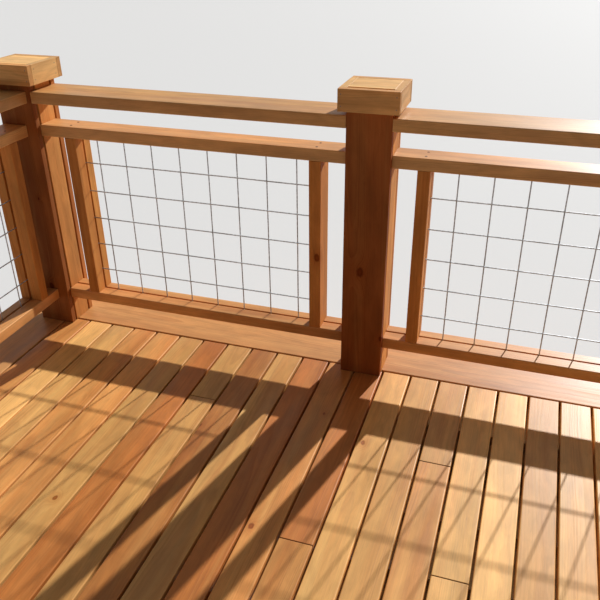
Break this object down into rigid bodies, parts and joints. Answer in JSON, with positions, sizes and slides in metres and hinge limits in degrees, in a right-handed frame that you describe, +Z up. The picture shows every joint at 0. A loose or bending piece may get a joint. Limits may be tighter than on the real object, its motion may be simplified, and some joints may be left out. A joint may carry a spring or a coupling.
{
  "type": "raised wooden deck with railing",
  "caption": "Raised cedar deck platform with a boarded floor on joists, box posts with caps, flat rails and welded wire guard panels on three sides.",
  "frame": {"origin": "middle of the footprint, at the feet of the legs, on the ground", "axes": "+X along the back railing to the right, +Y from the open front edge to the back railing, +Z up"},
  "size_m": [2.63, 1.434, 1.721],
  "materials": {
    "leg_wood": "oiled",
    "post_wood": "oiled",
    "cap_wood": "oiled",
    "rail_wood": "oiled",
    "stile_wood": "oiled",
    "floor_wood": "oiled satin",
    "joist_wood": "sawn",
    "wire": "galvanised, dull"
  },
  "bodies": {
    "root": {"post_core_front_left": "leg_wood", "post_core_back_left": "leg_wood", "post_core_middle": "leg_wood", "post_core_back_right": "leg_wood", "post_core_front_right": "leg_wood", "post_box_front_left": "post_wood", "post_box_back_left": "post_wood", "post_box_middle": "post_wood", "post_box_back_right": "post_wood", "post_box_front_right": "post_wood", "post_cap_front_left": "cap_wood", "post_cap_back_left": "cap_wood", "post_cap_middle": "cap_wood", "post_cap_back_right": "cap_wood", "post_cap_front_right": "cap_wood", "left_top_rail": "rail_wood", "left_second_rail": "rail_wood", "left_bottom_rail": "rail_wood", "left_front_stile": "stile_wood", "left_back_stile": "stile_wood", "left_wire_panel": "wire", "back_left_top_rail": "rail_wood", "back_left_second_rail": "rail_wood", "back_left_bottom_rail": "rail_wood", "back_left_outer_stile": "stile_wood", "back_left_inner_stile": "stile_wood", "back_left_wire_panel": "wire", "back_right_top_rail": "rail_wood", "back_right_second_rail": "rail_wood", "back_right_bottom_rail": "rail_wood", "back_right_inner_stile": "stile_wood", "back_right_outer_stile": "stile_wood", "back_right_wire_panel": "wire", "right_top_rail": "rail_wood", "right_second_rail": "rail_wood", "right_bottom_rail": "rail_wood", "right_front_stile": "stile_wood", "right_back_stile": "stile_wood", "right_wire_panel": "wire", "floor_boards": "floor_wood", "back_border_board": "floor_wood", "left_border_board": "floor_wood", "right_border_board": "floor_wood", "floor_joists": "joist_wood", "border_joist": "joist_wood", "back_rim_joist": "joist_wood", "front_rim_joist": "joist_wood", "left_rim_joist": "joist_wood", "right_rim_joist": "joist_wood"}
  },
  "joints": []
}
